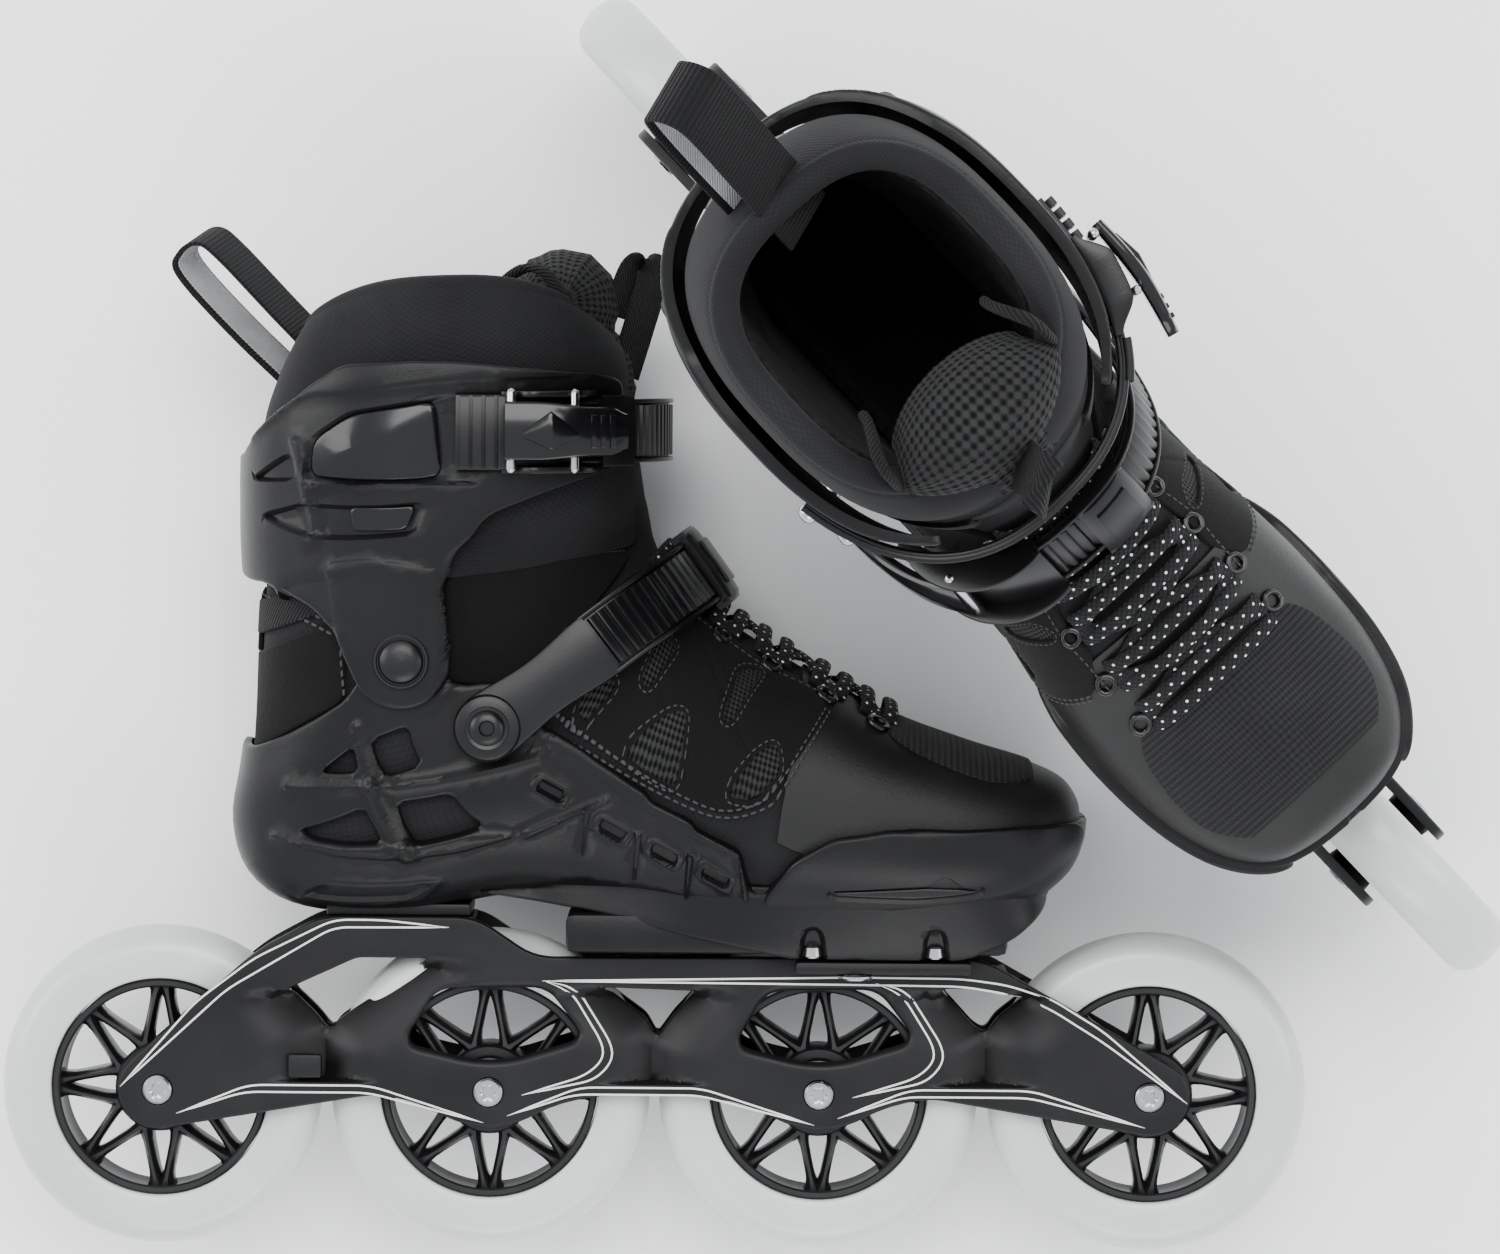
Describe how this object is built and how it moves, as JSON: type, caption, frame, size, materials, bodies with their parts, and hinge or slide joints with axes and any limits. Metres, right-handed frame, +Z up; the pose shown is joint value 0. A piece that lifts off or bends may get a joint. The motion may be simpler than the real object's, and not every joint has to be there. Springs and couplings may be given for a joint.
{
  "type": "inline skates",
  "caption": "Pair of four-wheel fitness inline skates with a soft boot in a plastic shell, hinged ankle cuff, buckle straps, laces and large light-coloured wheels on a metal frame.",
  "frame": {"origin": "on the floor under the middle of the pair's bounding box", "axes": "+Z up; +X runs from heel to toe of the right skate, which lies on its inner side with its wheels towards -Y; the left skate stands on its wheels"},
  "size_m": [0.5155, 0.4304, 0.3486],
  "materials": {
    "frame_anodised": "black anodised, satin",
    "shell_plastic": "black satin plastic with a fine texture",
    "strap_plastic": "black semi-gloss plastic",
    "boot_textile": "black mesh and suede",
    "collar_textile": "black padded softshell",
    "lace": "black lace with white flecks",
    "urethane": "white cast urethane, slightly translucent",
    "hub_plastic": "black satin plastic",
    "bearing_steel": "ground steel",
    "polished_steel": "polished steel"
  },
  "bodies": {
    "right_skate": {"right_frame": "frame_anodised", "right_shell": "shell_plastic", "right_boot": "boot_textile", "right_laces": "lace", "right_cuff_pivot_outer": "polished_steel", "right_cuff_pivot_inner": "polished_steel", "right_axle_1": "polished_steel", "right_axle_2": "polished_steel", "right_axle_3": "polished_steel", "right_axle_4": "polished_steel"},
    "right_wheel_1_body": {"right_tyre_1": "urethane", "right_hub_1": "hub_plastic", "right_bearing_set_1": "bearing_steel"},
    "right_wheel_2_body": {"right_tyre_2": "urethane", "right_hub_2": "hub_plastic", "right_bearing_set_2": "bearing_steel"},
    "right_wheel_3_body": {"right_tyre_3": "urethane", "right_hub_3": "hub_plastic", "right_bearing_set_3": "bearing_steel"},
    "right_wheel_4_body": {"right_tyre_4": "urethane", "right_hub_4": "hub_plastic", "right_bearing_set_4": "bearing_steel"},
    "right_cuff_body": {"right_cuff": "shell_plastic", "right_collar": "collar_textile", "right_cuff_buckle": "shell_plastic", "right_cuff_ladder": "strap_plastic"},
    "right_cuff_lever_body": {"right_cuff_lever": "shell_plastic"},
    "right_instep_strap": {"right_instep_ladder": "strap_plastic", "right_instep_buckle": "shell_plastic"},
    "right_instep_lever_body": {"right_instep_lever": "shell_plastic"},
    "left_skate": {"left_frame": "frame_anodised", "left_shell": "shell_plastic", "left_boot": "boot_textile", "left_laces": "lace", "left_cuff_pivot_outer": "polished_steel", "left_cuff_pivot_inner": "polished_steel", "left_axle_1": "polished_steel", "left_axle_2": "polished_steel", "left_axle_3": "polished_steel", "left_axle_4": "polished_steel"},
    "left_wheel_1_body": {"left_tyre_1": "urethane", "left_hub_1": "hub_plastic", "left_bearing_set_1": "bearing_steel"},
    "left_wheel_2_body": {"left_tyre_2": "urethane", "left_hub_2": "hub_plastic", "left_bearing_set_2": "bearing_steel"},
    "left_wheel_3_body": {"left_tyre_3": "urethane", "left_hub_3": "hub_plastic", "left_bearing_set_3": "bearing_steel"},
    "left_wheel_4_body": {"left_tyre_4": "urethane", "left_hub_4": "hub_plastic", "left_bearing_set_4": "bearing_steel"},
    "left_cuff_body": {"left_cuff": "shell_plastic", "left_collar": "collar_textile", "left_cuff_buckle": "shell_plastic", "left_cuff_ladder": "strap_plastic"},
    "left_cuff_lever_body": {"left_cuff_lever": "shell_plastic"},
    "left_instep_strap": {"left_instep_ladder": "strap_plastic", "left_instep_buckle": "shell_plastic"},
    "left_instep_lever_body": {"left_instep_lever": "shell_plastic"}
  },
  "joints": [
    {"name": "right_wheel_1_spin", "type": "hinge", "parent": "right_skate", "child": "right_wheel_1_body", "pos_m": [-0.20279, -0.15751, 0.0521], "axis": [0.0003, 0.0401, -0.9992], "continuous": true},
    {"name": "right_wheel_2_spin", "type": "hinge", "parent": "right_skate", "child": "right_wheel_2_body", "pos_m": [-0.0898, -0.15844, 0.0521], "axis": [0.0003, 0.0401, -0.9992], "continuous": true},
    {"name": "right_wheel_3_spin", "type": "hinge", "parent": "right_skate", "child": "right_wheel_3_body", "pos_m": [0.0232, -0.15936, 0.0521], "axis": [0.0003, 0.0401, -0.9992], "continuous": true},
    {"name": "right_wheel_4_spin", "type": "hinge", "parent": "right_skate", "child": "right_wheel_4_body", "pos_m": [0.13619, -0.16029, 0.0521], "axis": [0.0003, 0.0401, -0.9992], "continuous": true},
    {"name": "right_cuff_flex", "type": "hinge", "parent": "right_skate", "child": "right_cuff_body", "pos_m": [-0.11718, -0.00983, 0.05806], "axis": [0.0003, 0.0401, -0.9992], "range_deg": [0, 5], "stiffness_Nm_per_rad": 12},
    {"name": "right_cuff_lever_turn", "type": "hinge", "parent": "right_cuff_body", "child": "right_cuff_lever_body", "pos_m": [-0.08147, 0.06477, 0.12462], "axis": [-0.0082, -0.9992, -0.0401], "range_deg": [0, 75]},
    {"name": "right_instep_strap_turn", "type": "hinge", "parent": "right_skate", "child": "right_instep_strap", "pos_m": [-0.08826, -0.03205, 0.05718], "axis": [-0.0003, -0.0401, 0.9992], "range_deg": [0, 8]},
    {"name": "right_instep_lever_turn", "type": "hinge", "parent": "right_instep_strap", "child": "right_instep_lever_body", "pos_m": [-0.02603, 0.0161, 0.01817], "axis": [0.5797, -0.8141, -0.0325], "range_deg": [0, 70]},
    {"name": "left_wheel_1_spin", "type": "hinge", "parent": "left_skate", "child": "left_wheel_1_body", "pos_m": [-0.01656, 0.17205, 0.05495], "axis": [-0.7254, -0.6859, -0.0576], "continuous": true},
    {"name": "left_wheel_2_spin", "type": "hinge", "parent": "left_skate", "child": "left_wheel_2_body", "pos_m": [0.06108, 0.08995, 0.05495], "axis": [-0.7254, -0.6859, -0.0576], "continuous": true},
    {"name": "left_wheel_3_spin", "type": "hinge", "parent": "left_skate", "child": "left_wheel_3_body", "pos_m": [0.13872, 0.00785, 0.05495], "axis": [-0.7254, -0.6859, -0.0576], "continuous": true},
    {"name": "left_wheel_4_spin", "type": "hinge", "parent": "left_skate", "child": "left_wheel_4_body", "pos_m": [0.21636, -0.07425, 0.05495], "axis": [-0.7254, -0.6859, -0.0576], "continuous": true},
    {"name": "left_cuff_flex", "type": "hinge", "parent": "left_skate", "child": "left_cuff_body", "pos_m": [0.03522, 0.10486, 0.2032], "axis": [0.7254, 0.6859, 0.0576], "range_deg": [0, 5], "stiffness_Nm_per_rad": 12},
    {"name": "left_cuff_lever_turn", "type": "hinge", "parent": "left_cuff_body", "child": "left_cuff_lever_body", "pos_m": [0.10215, 0.11985, 0.28423], "axis": [-0.0418, -0.0396, 0.9983], "range_deg": [0, 75]},
    {"name": "left_instep_strap_turn", "type": "hinge", "parent": "left_skate", "child": "left_instep_strap", "pos_m": [0.05613, 0.08458, 0.18124], "axis": [-0.7254, -0.6859, -0.0576], "range_deg": [0, 8]},
    {"name": "left_instep_lever_turn", "type": "hinge", "parent": "left_instep_strap", "child": "left_instep_lever_body", "pos_m": [0.06696, 0.00972, 0.22586], "axis": [-0.4368, 0.394, 0.8087], "range_deg": [0, 70]},
    {"name": "left_skate_lift", "type": "slide", "parent": "right_skate", "child": "left_skate", "axis": [0, 0, 1], "range_m": [0, 0.3]}
  ]
}
